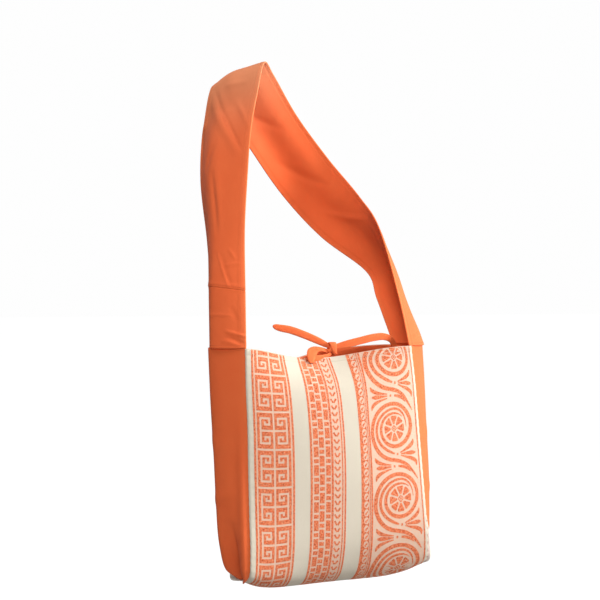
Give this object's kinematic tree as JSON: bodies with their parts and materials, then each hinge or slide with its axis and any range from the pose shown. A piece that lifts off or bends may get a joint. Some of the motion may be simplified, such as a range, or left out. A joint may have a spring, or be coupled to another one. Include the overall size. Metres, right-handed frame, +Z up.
{
  "type": "cotton crossbody bag",
  "caption": "Folk cotton crossbody bag in its worn form: figured woven panel, plain creased gussets, open mouth drawn in by a knotted cloth tie, and one wide shoulder strap.",
  "frame": {"origin": "underside of the strap, at the middle of its width, where it lies on the shoulder", "axes": "+Z up, the front panel faces -Y, +X to the right as seen from the front"},
  "size_m": [0.424, 0.3562, 0.9462],
  "materials": {
    "figured_cotton": "woven cotton, cream with raised orange figures",
    "orange_cotton": "plain woven cotton, matt",
    "lining_cotton": "plain woven cotton, matt"
  },
  "bodies": {
    "root": {"body_panel": "figured_cotton", "lining": "lining_cotton", "gusset_left": "orange_cotton", "gusset_right": "orange_cotton", "strap_short": "orange_cotton", "strap_long": "orange_cotton", "front_tie_stem": "orange_cotton", "front_tie_tail": "orange_cotton", "back_tie_stem": "orange_cotton", "back_tie_tail": "orange_cotton", "tie_knot": "orange_cotton"}
  },
  "joints": []
}
